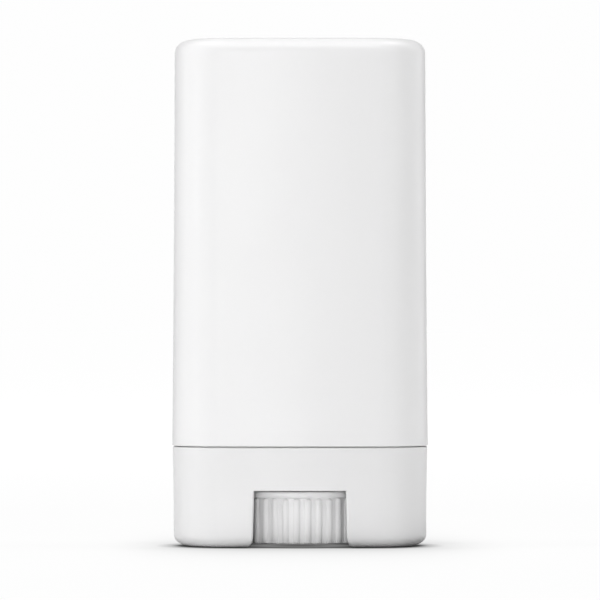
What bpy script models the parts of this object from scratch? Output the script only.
"""A twist-up sunscreen stick in an oval case, built as eight separate mouldings.

The case is closed. A tall cap stands over the neck of a barrel, and the barrel sits in a base that has a
window at the front and another at the back. A ribbed knob in those windows turns a lead screw. The screw's
thread lifts an elevator, which can't turn because the sleeve is oval, and the elevator pushes the stick out.

Lengths are in metres, angles in degrees. +Z is up, the front is -Y, and the origin is on the screw's axis
at the foot of the base. Every oval wall is the one outline below, moved inwards by an inset.
"""

import math

import bmesh
import bpy
from mathutils import Vector

# Outline of the case, seen from above, at the shoulder of the base
OUTLINE_WIDTH = 0.03616
OUTLINE_DEPTH = 0.0210
FACE_RADIUS = 0.110
SIDE_RADIUS = 0.032
CORNER_RADIUS = 0.0074
FACE_STEPS = 2
SIDE_STEPS = 1
CORNER_STEPS = 7

# Shared by all pieces
FIT_GAP = 0.0003
OVERRUN = 0.0010
ROUND_STEPS = 36
EDGE_POWER = 2.5
SHARP_ANGLE = 32.0
BEAD_HEIGHT = 0.00015
BEAD_HALF_WIDTH = 0.0006

# Base: a cup with two closed feet, and a well between them for the knob
BASE_HEIGHT = 0.01405
BASE_WALL = 0.00095
BASE_TAPER = 0.00013
BASE_TAPER_END = 0.0066
BASE_EDGE = 0.0002
FOOT_PLATE = 0.0011
FOOT_CHAMFER = 0.0007
FOOT_ROUND_HEIGHT = 0.0017
FOOT_ROUND_SIDE = 0.0027
FOOT_ROUND_FACE = 0.0014
FOOT_ROUND_STEPS = 4
WINDOW_HEIGHT = 0.00794
WINDOW_WIDTH = 0.0129
WINDOW_FLARE = 0.0002
WINDOW_FOOT_ROUND = 0.0009
WINDOW_FOOT_RISE = 0.0013
WINDOW_FOOT_STEPS = 4
WELL_HEIGHT = 0.00805
WELL_WALL = 0.0009
WELL_ROOF = 0.0010
WELL_SIDE_GAP = 0.0005
FOOT_RIB_THICKNESS = 0.0008
FOOT_RIB_OFFSET = 0.0032

# Knob: a ribbed thumb wheel with a plain collar round its top
KNOB_COLLAR_RADIUS = 0.0091
KNOB_COLLAR_HEIGHT = 0.00095
KNOB_EDGE = 0.0002
KNOB_FOOT_Z = 0.0004
KNOB_RIBS = 34
KNOB_RIB_TURN = 2.2
KNOB_CREST_RADIUS = 0.0090
KNOB_VALLEY_RADIUS = 0.0086
KNOB_RIB_BASE_SHARE = 0.60
KNOB_RIB_CREST_SHARE = 0.30
KNOB_WALL = 0.0012
KNOB_DISC = 0.0012
KNOB_HUB_RADIUS = 0.0042
KNOB_HUB_RECESS = 0.0022
KNOB_SPOKES = 3
KNOB_SPOKE_THICKNESS = 0.0009

# Barrel: the oval sleeve with its floor
SLEEVE_WALL = 0.0010
SLEEVE_RISE = 0.0460
BARREL_FLOOR = 0.0012
BARREL_EDGE = 0.0003
HOLD_BEAD_RISE = 0.0022
NECK_BEAD_RISE = 0.0030

# Cap: a drafted oval cover with a rounded top and ribs that stop it on the neck
CAP_HEIGHT = 0.05745
CAP_TOP_WALL = 0.0014
CAP_PROUD = 0.0001
CAP_LEAN = 0.00038
CAP_EDGE = 0.00015
CROWN_HEIGHT = 0.0022
CROWN_SIDE = 0.0033
CROWN_FACE = 0.0025
CROWN_STEPS = 6
CROWN_INNER_HEIGHT = 0.0016
CROWN_INNER_SIDE = 0.0026
CROWN_INNER_FACE = 0.0018
CROWN_INNER_STEPS = 3
STOP_RIB_WIDTH = 0.0010
STOP_RIB_OFFSET = 0.0070
STOP_RIB_REACH = 0.0023
STOP_RIB_ROOT = 0.0003

# Lead screw: a coarse left-hand thread over a collar, a journal, a hexagonal stem and a snap head
THREAD_LEAD = 0.0030
THREAD_STEPS = 16
THREAD_ROOT_RADIUS = 0.0024
THREAD_CREST_RADIUS = 0.0034
THREAD_CREST_WIDTH = 0.0009
THREAD_FLANK_WIDTH = 0.00036
SCREW_TIP_DROP = 0.0026
SCREW_TIP_TAPER = 0.0014
SCREW_TIP_RADIUS = 0.0020
SCREW_COLLAR_RADIUS = 0.0046
SCREW_COLLAR_HEIGHT = 0.0011
SCREW_JOURNAL_RADIUS = 0.0027
STEM_CORNER_RADIUS = 0.0026
STEM_SIDES = 6
SNAP_HEAD_RADIUS = 0.0030
SNAP_HEAD_HEIGHT = 0.0011
SNAP_HEAD_LAND = 0.0003
SNAP_TIP_RADIUS = 0.0020
SNAP_SLIT_WIDTH = 0.0008
SNAP_SLIT_RISE = 0.0040

# Elevator: the platform that carries the stick
ELEVATOR_PLATE = 0.0010
ELEVATOR_WALL = 0.0008
ELEVATOR_LIP = 0.0016
ELEVATOR_SKIRT = 0.0032
HUB_WALL = 0.0014
HUB_RISE = 0.0048
ANCHOR_THICKNESS = 0.0010
ANCHOR_HEIGHT = 0.0042
ANCHOR_REACH = 0.0100
ANCHOR_BAR_WIDTH = 0.0070

# Sunscreen stick, and the lid that seals it
STICK_EDGE_RISE = 0.0009
DOME_RISE = 0.0048
DOME_POWER = 2.3
DOME_STEPS = 6
DOME_TIP_SHARE = 0.14
LID_WALL = 0.0006
LID_PLUG_DEPTH = 0.0020
LID_FLANGE = 0.0007
LID_FLANGE_MARGIN = 0.0003
TAB_WIDTH = 0.0086
TAB_THICKNESS = 0.0009
TAB_RISE = 0.0028
TAB_ROOT = 0.0004
TAB_STEPS = 10

# Colours
CASE_WHITE = (0.86, 0.86, 0.86, 1.0)
INNER_WHITE = (0.80, 0.80, 0.79, 1.0)
LID_WHITE = (0.76, 0.79, 0.80, 1.0)
STICK_CREAM = (0.88, 0.83, 0.72, 1.0)

# Heights, insets and radii that follow from the sizes above
CAP_MOUTH_Z = BASE_HEIGHT + FIT_GAP
CAP_TOP_Z = CAP_MOUTH_Z + CAP_HEIGHT
WELL_RADIUS = KNOB_COLLAR_RADIUS + WELL_SIDE_GAP
WELL_ROOF_Z = WELL_HEIGHT + WELL_ROOF
KNOB_TOP_Z = WELL_HEIGHT - FIT_GAP
KNOB_HUB_FOOT_Z = KNOB_FOOT_Z + KNOB_HUB_RECESS
BARREL_FLOOR_Z = WELL_ROOF_Z + FIT_GAP
CHAMBER_FLOOR_Z = BARREL_FLOOR_Z + BARREL_FLOOR
HOLD_BEAD_Z = BARREL_FLOOR_Z + HOLD_BEAD_RISE
NECK_BEAD_Z = CAP_MOUTH_Z + NECK_BEAD_RISE
RIM_Z = BASE_HEIGHT + SLEEVE_RISE
NECK_INSET = BASE_WALL + FIT_GAP
RIM_INSET = NECK_INSET + CAP_LEAN * SLEEVE_RISE / CAP_HEIGHT
BORE_INSET = RIM_INSET + SLEEVE_WALL
STICK_INSET = BORE_INSET + FIT_GAP
SCREW_COLLAR_Z = CHAMBER_FLOOR_Z + FIT_GAP
SCREW_COLLAR_TOP_Z = SCREW_COLLAR_Z + SCREW_COLLAR_HEIGHT
SCREW_TIP_Z = RIM_Z - SCREW_TIP_DROP
ELEVATOR_Z = CHAMBER_FLOOR_Z + FIT_GAP
PLATE_Z = ELEVATOR_Z + ELEVATOR_SKIRT
PLATE_TOP_Z = PLATE_Z + ELEVATOR_PLATE
HUB_TOP_Z = PLATE_TOP_Z + HUB_RISE
HUB_RADIUS = THREAD_CREST_RADIUS + FIT_GAP + HUB_WALL
ANCHOR_TOP_Z = PLATE_TOP_Z + ANCHOR_HEIGHT
LID_FLANGE_Z = RIM_Z + FIT_GAP
LID_FLANGE_TOP_Z = LID_FLANGE_Z + LID_FLANGE
LID_PLUG_Z = RIM_Z - LID_PLUG_DEPTH
DOME_EDGE_Z = RIM_Z + STICK_EDGE_RISE
DOME_INSET = STICK_INSET + LID_WALL + FIT_GAP
LID_TOP_Z = DOME_EDGE_Z + DOME_RISE + FIT_GAP + LID_WALL


def clear_scene():
    for thing in list(bpy.data.objects):
        bpy.data.objects.remove(thing, do_unlink=True)


def plastic(name, colour, roughness):
    material = bpy.data.materials.new(name)
    material.use_nodes = True
    shader = material.node_tree.nodes["Principled BSDF"]
    shader.inputs["Base Color"].default_value = colour
    shader.inputs["Roughness"].default_value = roughness
    return material


# Outlines and rings


def spread(start, end, steps):
    """Values from start up to, but not including, end."""
    return [start + (end - start) * i / steps for i in range(steps)]


def mirrored(stations, x_sign, y_sign):
    flip = Vector((x_sign, y_sign))
    return [(centre * flip, radius, normal * flip) for centre, radius, normal in stations]


def outline_stations():
    """(arc centre, arc radius, unit normal) of each point of the case's outline, counter-clockwise.

    In each quarter a flat side arc and a flat face arc are joined by a corner arc that touches both.
    """
    face_centre = Vector((0, OUTLINE_DEPTH / 2 - FACE_RADIUS))
    side_centre = Vector((OUTLINE_WIDTH / 2 - SIDE_RADIUS, 0))
    between = side_centre - face_centre
    to_face = FACE_RADIUS - CORNER_RADIUS
    to_side = SIDE_RADIUS - CORNER_RADIUS
    along = (to_face**2 - to_side**2 + between.length_squared) / (2 * between.length)
    across = math.sqrt(to_face**2 - along**2)
    unit = between.normalized()
    corner_centre = face_centre + unit * along + Vector((unit.y, -unit.x)) * across
    from_side = corner_centre - side_centre
    from_face = corner_centre - face_centre
    corner_start = math.atan2(from_side.y, from_side.x)
    corner_end = math.atan2(from_face.y, from_face.x)
    arcs = [(side_centre, SIDE_RADIUS, angle) for angle in spread(0, corner_start, SIDE_STEPS)]
    arcs += [(corner_centre, CORNER_RADIUS, angle) for angle in spread(corner_start, corner_end, CORNER_STEPS)]
    arcs += [(face_centre, FACE_RADIUS, angle) for angle in spread(corner_end, math.pi / 2, FACE_STEPS)]
    quarter = [(centre, radius, Vector((math.cos(a), math.sin(a)))) for centre, radius, a in arcs]
    quarter.append((face_centre, FACE_RADIUS, Vector((0, 1))))
    return (
        quarter
        + mirrored(quarter[-2::-1], -1, 1)
        + mirrored(quarter[1:], -1, -1)
        + mirrored(quarter[-2:0:-1], 1, -1)
    )


STATIONS = outline_stations()


def oval(height, inset, face_inset=None, share=1.0):
    """The case's outline, moved inwards at its sides and at its faces, then scaled."""
    face_inset = inset if face_inset is None else face_inset
    ring = []
    for centre, radius, normal in STATIONS:
        blend = inset * normal.x**2 + face_inset * normal.y**2
        point = (centre + normal * (radius - blend)) * share
        ring.append(point.to_3d() + Vector((0, 0, height)))
    return ring


def polar(height, radii):
    """A ring with one radius for each of its evenly spread directions."""
    ring = []
    for i, radius in enumerate(radii):
        angle = math.tau * i / len(radii)
        ring.append(Vector((radius * math.cos(angle), radius * math.sin(angle), height)))
    return ring


def circle(height, radius, steps=ROUND_STEPS):
    return polar(height, [radius] * steps)


def hexagon(height, corner_radius):
    """A hexagon with as many points as a circle has, so that the two can be joined."""
    sector = math.tau / STEM_SIDES
    flat = corner_radius * math.cos(sector / 2)
    angles = [math.tau * i / ROUND_STEPS for i in range(ROUND_STEPS)]
    return polar(height, [flat / math.cos(angle % sector - sector / 2) for angle in angles])


def edge_shares(steps):
    """(inward, along) shares of a rounded edge, from the flat face to the wall."""
    shares = []
    for i in range(steps + 1):
        angle = math.pi / 2 * i / steps
        inward = 1 - math.sin(angle) ** (2 / EDGE_POWER)
        along = 1 - math.cos(angle) ** (2 / EDGE_POWER)
        shares.append((inward, along))
    return shares


def dome(inset, rise):
    """Oval rings of a dome, from its tip down to its edge."""
    rings = []
    tip_angle = math.acos(DOME_TIP_SHARE)
    for i in range(DOME_STEPS + 1):
        angle = tip_angle * (1 - i / DOME_STEPS)
        share = math.cos(angle) ** (2 / DOME_POWER)
        lift = math.sin(angle) ** (2 / DOME_POWER) / math.sin(tip_angle) ** (2 / DOME_POWER)
        rings.append(oval(DOME_EDGE_Z + rise * lift, inset, share=share))
    return rings


# Bodies and Booleans


def body(name, points, faces, material=None):
    mesh = bpy.data.meshes.new(name)
    mesh.from_pydata(points, [], faces)
    work = bmesh.new()
    work.from_mesh(mesh)
    bmesh.ops.recalc_face_normals(work, faces=work.faces)
    if work.calc_volume(signed=True) < 0:
        bmesh.ops.reverse_faces(work, faces=work.faces)
    work.to_mesh(mesh)
    work.free()
    mesh.shade_smooth()
    mesh.set_sharp_from_angle(angle=math.radians(SHARP_ANGLE))
    thing = bpy.data.objects.new(name, mesh)
    bpy.context.scene.collection.objects.link(thing)
    if material:
        mesh.materials.append(material)
    else:
        thing.hide_render = True
        thing.display_type = "WIRE"
    return thing


def loft(name, rings, material=None):
    """A closed body through the rings, which all have the same number of points."""
    count = len(rings[0])
    points = [point for ring in rings for point in ring]
    faces = [tuple(range(count)), tuple(range(len(points) - count, len(points)))]
    for row in range(0, len(points) - count, count):
        for i in range(count):
            j = (i + 1) % count
            faces.append((row + i, row + j, row + count + j, row + count + i))
    return body(name, points, faces, material)


def box(name, low, high):
    corners = [(low[0], low[1]), (high[0], low[1]), (high[0], high[1]), (low[0], high[1])]
    return loft(name, [[Vector((x, y, z)) for x, y in corners] for z in (low[2], high[2])])


def prism(name, profile, start, end):
    """A body with the same profile in x and z all the way from one y to another."""
    return loft(name, [[Vector((x, y, z)) for x, z in profile] for y in (start, end)])


def helix(name, foot, top, growth):
    """A threaded rod, grown outwards and along its axis, and longer than asked for at both ends.

    Rows follow the thread, four to a turn: foot of the flank, start and end of the crest, foot again. The
    hand is left, so a row falls by one lead on its way round and meets the row four below.
    """
    root = THREAD_ROOT_RADIUS + growth
    crest = THREAD_CREST_RADIUS + growth
    rows = (
        (root, -growth - THREAD_FLANK_WIDTH),
        (crest, -growth),
        (crest, THREAD_CREST_WIDTH + growth),
        (root, THREAD_CREST_WIDTH + THREAD_FLANK_WIDTH + growth),
    )
    first = math.floor(foot / THREAD_LEAD)
    last = math.ceil(top / THREAD_LEAD) + 2
    levels = [(radius, THREAD_LEAD * turn + rise) for turn in range(first, last) for radius, rise in rows]
    points = []
    for i in range(THREAD_STEPS):
        angle = math.tau * i / THREAD_STEPS
        for radius, rise in levels:
            height = rise - THREAD_LEAD * i / THREAD_STEPS
            points.append(Vector((radius * math.cos(angle), radius * math.sin(angle), height)))
    count = len(levels)
    seam = (THREAD_STEPS - 1) * count
    faces = []
    for i in range(THREAD_STEPS - 1):
        for row in range(count - 1):
            here = i * count + row
            faces.append((here, here + count, here + count + 1, here + 1))
    for row in range(len(rows), count - 1):
        faces.append((seam + row, row - len(rows), row - len(rows) + 1, seam + row + 1))
    low_edge = [i * count for i in range(THREAD_STEPS)] + [seam + row for row in range(1, len(rows) + 1)]
    high_edge = [i * count + count - 1 for i in range(THREAD_STEPS)]
    high_edge += [count - 1 - row for row in range(len(rows), 0, -1)]
    for edge, reach in ((low_edge, -THREAD_LEAD), (high_edge, THREAD_LEAD)):
        middle = len(points)
        points.append(Vector((0, 0, points[edge[0]].z + reach)))
        faces += [(middle, edge[i - 1], edge[i]) for i in range(len(edge))]
    return body(name, points, faces)


def combine(target, tool, operation):
    modifier = target.modifiers.new(tool.name, "BOOLEAN")
    modifier.operation = operation
    modifier.solver = "EXACT"
    modifier.object = tool


def cut(target, *tools):
    for tool in tools:
        combine(target, tool, "DIFFERENCE")


def join(target, *tools):
    for tool in tools:
        combine(target, tool, "UNION")


# Case


def bead(height, inset, proud):
    """Three rings that run over a bead, or through its groove."""
    return [
        oval(height - BEAD_HALF_WIDTH, inset),
        oval(height, inset - proud),
        oval(height + BEAD_HALF_WIDTH, inset),
    ]


def cap_inset(height, inset):
    """The inset at a height of a wall that leans inwards like the cap."""
    return inset + CAP_LEAN * (height - CAP_MOUTH_Z) / CAP_HEIGHT


def window_profile():
    """One window seen from the front: square at the top, flared and rounded at the foot."""
    half = WINDOW_WIDTH / 2
    right = [(half, WINDOW_HEIGHT)]
    for i in range(WINDOW_FOOT_STEPS + 1):
        angle = math.pi / 2 * i / WINDOW_FOOT_STEPS
        x = half + WINDOW_FLARE + WINDOW_FOOT_ROUND * (1 - math.cos(angle))
        right.append((x, WINDOW_FOOT_RISE * (1 - math.sin(angle))))
    right.append((right[-1][0], -OVERRUN))
    return right + [(-x, z) for x, z in reversed(right)]


def make_base():
    rings = []
    for inward, along in edge_shares(FOOT_ROUND_STEPS):
        side = BASE_TAPER + FOOT_ROUND_SIDE * inward
        face = BASE_TAPER + FOOT_ROUND_FACE * inward
        rings.append(oval(FOOT_ROUND_HEIGHT * along, side, face))
    rings.append(oval(BASE_TAPER_END, BASE_TAPER))
    rings.append(oval(BASE_HEIGHT - BASE_EDGE, 0))
    rings.append(oval(BASE_HEIGHT, BASE_EDGE))
    base = loft("base_shell", rings, plastic("base_white", CASE_WHITE, 0.42))

    inside = BASE_WALL + BASE_TAPER
    hollow_rings = [
        oval(FOOT_PLATE, inside + FOOT_CHAMFER),
        oval(FOOT_PLATE + FOOT_CHAMFER, inside),
        oval(WELL_ROOF_Z - OVERRUN, inside),
        oval(WELL_ROOF_Z, BASE_WALL),
    ]
    hollow_rings += bead(HOLD_BEAD_Z, BASE_WALL, BEAD_HEIGHT)
    hollow_rings.append(oval(BASE_HEIGHT + OVERRUN, BASE_WALL))
    hollow = loft("base_hollow", hollow_rings)
    housing = WELL_RADIUS + WELL_WALL
    jamb = WINDOW_WIDTH / 2 + WINDOW_FLARE + WELL_WALL
    cut(
        hollow,
        loft("well_housing", [circle(-OVERRUN, housing), circle(WELL_ROOF_Z, housing)]),
        box("well_jambs", (-jamb, -OUTLINE_DEPTH, -OVERRUN), (jamb, OUTLINE_DEPTH, WELL_ROOF_Z)),
    )
    for side in (-1, 1):
        middle = side * FOOT_RIB_OFFSET
        low = (-OUTLINE_WIDTH, middle - FOOT_RIB_THICKNESS / 2, -OVERRUN)
        high = (OUTLINE_WIDTH, middle + FOOT_RIB_THICKNESS / 2, WELL_ROOF_Z)
        cut(hollow, box("foot_ribs", low, high))

    bearing = SCREW_JOURNAL_RADIUS + FIT_GAP
    cut(
        base,
        hollow,
        loft("knob_well", [circle(-OVERRUN, WELL_RADIUS), circle(WELL_HEIGHT, WELL_RADIUS)]),
        prism("windows", window_profile(), -OUTLINE_DEPTH, OUTLINE_DEPTH),
        loft("roof_bearing", [circle(WINDOW_HEIGHT - OVERRUN, bearing), circle(BARREL_FLOOR_Z, bearing)]),
    )
    return base


def make_barrel():
    def outer(height):
        return cap_inset(height, NECK_INSET)

    rings = [oval(BARREL_FLOOR_Z, NECK_INSET + BARREL_EDGE), oval(BARREL_FLOOR_Z + BARREL_EDGE, NECK_INSET)]
    rings += bead(HOLD_BEAD_Z, NECK_INSET, BEAD_HEIGHT)
    rings.append(oval(CAP_MOUTH_Z, NECK_INSET))
    rings += bead(NECK_BEAD_Z, outer(NECK_BEAD_Z), BEAD_HEIGHT)
    rings.append(oval(RIM_Z - BARREL_EDGE, outer(RIM_Z - BARREL_EDGE)))
    rings.append(oval(RIM_Z, outer(RIM_Z) + BARREL_EDGE))
    rings.append(oval(RIM_Z, BORE_INSET - BARREL_EDGE))
    rings.append(oval(RIM_Z - BARREL_EDGE, BORE_INSET))
    rings.append(oval(CHAMBER_FLOOR_Z, BORE_INSET))
    barrel = loft("barrel", rings, plastic("barrel_white", INNER_WHITE, 0.45))
    bearing = SCREW_JOURNAL_RADIUS + FIT_GAP
    cut(barrel, loft("floor_bearing", [circle(WELL_ROOF_Z, bearing), circle(SCREW_COLLAR_TOP_Z, bearing)]))
    return barrel


def make_cap():
    rings = []
    crown_z = CAP_TOP_Z - CROWN_HEIGHT
    for inward, along in edge_shares(CROWN_STEPS):
        lean = cap_inset(CAP_TOP_Z - CROWN_HEIGHT * along, -CAP_PROUD)
        rings.append(
            oval(CAP_TOP_Z - CROWN_HEIGHT * along, lean + CROWN_SIDE * inward, lean + CROWN_FACE * inward)
        )
    rings.append(oval(CAP_MOUTH_Z + CAP_EDGE, -CAP_PROUD))
    rings.append(oval(CAP_MOUTH_Z, CAP_EDGE - CAP_PROUD))
    rings.append(oval(CAP_MOUTH_Z, BASE_WALL))
    rings += bead(NECK_BEAD_Z, cap_inset(NECK_BEAD_Z, BASE_WALL), BEAD_HEIGHT)
    ceiling = CAP_TOP_Z - CAP_TOP_WALL
    for inward, along in reversed(edge_shares(CROWN_INNER_STEPS)):
        height = ceiling - CROWN_INNER_HEIGHT * along
        lean = cap_inset(height, BASE_WALL)
        rings.append(oval(height, lean + CROWN_INNER_SIDE * inward, lean + CROWN_INNER_FACE * inward))
    cap = loft("cap", rings, plastic("cap_white", CASE_WHITE, 0.40))

    wall = OUTLINE_DEPTH / 2 - cap_inset(crown_z, BASE_WALL)
    for x_side in (-1, 1):
        for y_side in (-1, 1):
            xs = sorted(x_side * (STOP_RIB_OFFSET + side * STOP_RIB_WIDTH / 2) for side in (-1, 1))
            ys = sorted(y_side * reach for reach in (OUTLINE_DEPTH / 2 - STOP_RIB_REACH, wall + STOP_RIB_ROOT))
            low = (xs[0], ys[0], LID_FLANGE_TOP_Z + FIT_GAP)
            join(cap, box("stop_rib", low, (xs[1], ys[1], ceiling + STOP_RIB_ROOT)))
    return cap


# Drive


def ribbed(height):
    """A ring of the knob where it has its ribs."""
    pitch = math.tau / KNOB_RIBS
    turn = math.radians(KNOB_RIB_TURN)
    corners = (
        (-KNOB_RIB_BASE_SHARE / 2, KNOB_VALLEY_RADIUS),
        (-KNOB_RIB_CREST_SHARE / 2, KNOB_CREST_RADIUS),
        (KNOB_RIB_CREST_SHARE / 2, KNOB_CREST_RADIUS),
        (KNOB_RIB_BASE_SHARE / 2, KNOB_VALLEY_RADIUS),
    )
    ring = []
    for rib in range(KNOB_RIBS):
        for share, radius in corners:
            angle = turn + pitch * (rib + share)
            ring.append(Vector((radius * math.cos(angle), radius * math.sin(angle), height)))
    return ring


def plain(height, radius):
    """A round ring of the knob with the same directions as a ribbed one."""
    return [(point.to_2d().normalized() * radius).to_3d() + Vector((0, 0, height)) for point in ribbed(height)]


def make_knob():
    collar_foot = KNOB_TOP_Z - KNOB_COLLAR_HEIGHT
    knob = loft(
        "turn_knob",
        [
            plain(KNOB_TOP_Z, KNOB_COLLAR_RADIUS - KNOB_EDGE),
            plain(KNOB_TOP_Z - KNOB_EDGE, KNOB_COLLAR_RADIUS),
            plain(collar_foot, KNOB_COLLAR_RADIUS),
            ribbed(collar_foot),
            ribbed(KNOB_FOOT_Z + KNOB_EDGE),
            plain(KNOB_FOOT_Z, KNOB_VALLEY_RADIUS - KNOB_EDGE),
        ],
        plastic("knob_white", CASE_WHITE, 0.40),
    )
    inside = KNOB_VALLEY_RADIUS - KNOB_WALL
    ceiling = KNOB_TOP_Z - KNOB_DISC
    hollow = loft("knob_hollow", [circle(-OVERRUN, inside), circle(ceiling, inside)])
    cut(hollow, loft("knob_hub", [circle(KNOB_HUB_FOOT_Z, KNOB_HUB_RADIUS), circle(KNOB_TOP_Z, KNOB_HUB_RADIUS)]))
    for spoke in range(KNOB_SPOKES):
        half = KNOB_SPOKE_THICKNESS / 2
        bar = box("knob_spoke", (-WELL_RADIUS, -half, KNOB_HUB_FOOT_Z), (WELL_RADIUS, half, KNOB_TOP_Z))
        bar.rotation_euler.z = math.pi * spoke / KNOB_SPOKES
        cut(hollow, bar)
    socket = STEM_CORNER_RADIUS + FIT_GAP / math.cos(math.pi / STEM_SIDES)
    cut(knob, hollow, loft("knob_socket", [hexagon(-OVERRUN, socket), hexagon(BARREL_FLOOR_Z, socket)]))
    return knob


def make_screw():
    head_top = KNOB_HUB_FOOT_Z - FIT_GAP
    head_foot = head_top - SNAP_HEAD_HEIGHT
    shoulder = KNOB_TOP_Z + FIT_GAP
    screw = loft(
        "lead_screw",
        [
            circle(head_foot, SNAP_TIP_RADIUS),
            circle(head_top - SNAP_HEAD_LAND, SNAP_HEAD_RADIUS),
            circle(head_top, SNAP_HEAD_RADIUS),
            hexagon(head_top, STEM_CORNER_RADIUS),
            hexagon(shoulder, STEM_CORNER_RADIUS),
            circle(shoulder, SCREW_JOURNAL_RADIUS),
            circle(SCREW_COLLAR_Z, SCREW_JOURNAL_RADIUS),
            circle(SCREW_COLLAR_Z, SCREW_COLLAR_RADIUS),
            circle(SCREW_COLLAR_TOP_Z, SCREW_COLLAR_RADIUS),
        ],
        plastic("screw_white", INNER_WHITE, 0.45),
    )
    start = SCREW_COLLAR_Z + SCREW_COLLAR_HEIGHT / 2
    wide = THREAD_CREST_RADIUS + OVERRUN
    rod = helix("screw_thread", start, SCREW_TIP_Z, 0)
    ends = [
        circle(start, wide),
        circle(SCREW_TIP_Z - SCREW_TIP_TAPER - OVERRUN, wide),
        circle(SCREW_TIP_Z, SCREW_TIP_RADIUS),
    ]
    combine(rod, loft("screw_ends", ends), "INTERSECT")
    join(screw, rod)
    half = SNAP_SLIT_WIDTH / 2
    wide = SNAP_HEAD_RADIUS + OVERRUN
    cut(screw, box("snap_slit", (-wide, -half, 0), (wide, half, head_foot + SNAP_SLIT_RISE)))
    return screw


# Contents


def anchor_boxes(name, growth):
    """The cross-shaped anchor that keys the stick to the elevator, as three blades."""
    half = ANCHOR_THICKNESS / 2 + growth
    reach = ANCHOR_REACH + growth
    low = PLATE_TOP_Z - ELEVATOR_PLATE / 2
    high = ANCHOR_TOP_Z + growth
    blades = [box(name, (-reach, -half, low), (reach, half, high))]
    for side in (-1, 1):
        middle = side * (ANCHOR_REACH - ANCHOR_THICKNESS / 2)
        across = ANCHOR_BAR_WIDTH / 2 + growth
        blades.append(box(name, (middle - half, -across, low), (middle + half, across, high)))
    return blades


def make_elevator():
    inside = STICK_INSET + ELEVATOR_WALL
    lip_top = PLATE_TOP_Z + ELEVATOR_LIP
    elevator = loft(
        "elevator",
        [
            oval(PLATE_Z, inside),
            oval(ELEVATOR_Z, inside),
            oval(ELEVATOR_Z, STICK_INSET),
            oval(lip_top, STICK_INSET),
            oval(lip_top, inside),
            oval(PLATE_TOP_Z, inside),
        ],
        plastic("elevator_white", INNER_WHITE, 0.45),
    )
    hub_foot = PLATE_TOP_Z - ELEVATOR_PLATE / 2
    join(elevator, loft("elevator_hub", [circle(hub_foot, HUB_RADIUS), circle(HUB_TOP_Z, HUB_RADIUS)]))
    join(elevator, *anchor_boxes("elevator_anchor", 0))
    cut(elevator, helix("nut_thread", PLATE_Z - OVERRUN, HUB_TOP_Z + OVERRUN, FIT_GAP))
    return elevator


def make_stick():
    step_z = PLATE_TOP_Z + ELEVATOR_LIP + FIT_GAP
    inside = STICK_INSET + ELEVATOR_WALL + FIT_GAP
    rings = dome(DOME_INSET, DOME_RISE)
    rings += [
        oval(LID_PLUG_Z - FIT_GAP, DOME_INSET),
        oval(LID_PLUG_Z - FIT_GAP, STICK_INSET),
        oval(step_z, STICK_INSET),
        oval(step_z, inside),
        oval(PLATE_TOP_Z + FIT_GAP, inside),
    ]
    stick = loft("sunscreen_bar", rings, plastic("sunscreen_cream", STICK_CREAM, 0.55))
    hub = HUB_RADIUS + FIT_GAP
    bore = THREAD_CREST_RADIUS + FIT_GAP
    tip = SCREW_TIP_Z + FIT_GAP
    core = [
        circle(PLATE_Z, hub),
        circle(HUB_TOP_Z + FIT_GAP, hub),
        circle(HUB_TOP_Z + FIT_GAP, bore),
        circle(tip, bore),
    ]
    cut(stick, loft("stick_core", core), *anchor_boxes("stick_anchor", FIT_GAP))
    return stick


def make_lid():
    inner = DOME_INSET - FIT_GAP
    outer = inner - LID_WALL
    flange = RIM_INSET + LID_FLANGE_MARGIN
    rings = dome(outer, DOME_RISE + FIT_GAP + LID_WALL)
    rings[-1] = oval(LID_FLANGE_TOP_Z, outer)
    rings += [
        oval(LID_FLANGE_TOP_Z, flange),
        oval(LID_FLANGE_Z, flange),
        oval(LID_FLANGE_Z, outer),
        oval(LID_PLUG_Z, outer),
        oval(LID_PLUG_Z, inner),
    ]
    rings += reversed(dome(inner, DOME_RISE + FIT_GAP))
    lid = loft("seal_dome", rings, plastic("seal_frosted", LID_WHITE, 0.35))
    half = TAB_WIDTH / 2
    profile = [(half, LID_TOP_Z - TAB_ROOT), (-half, LID_TOP_Z - TAB_ROOT)]
    for i in range(TAB_STEPS + 1):
        angle = math.pi * (1 - i / TAB_STEPS)
        profile.append((half * math.cos(angle), LID_TOP_Z + TAB_RISE * math.sin(angle)))
    join(lid, prism("pull_tab", profile, -TAB_THICKNESS / 2, TAB_THICKNESS / 2))
    return lid


def main():
    clear_scene()
    make_base()
    make_barrel()
    make_knob()
    make_screw()
    make_elevator()
    make_stick()
    make_lid()
    make_cap()


main()
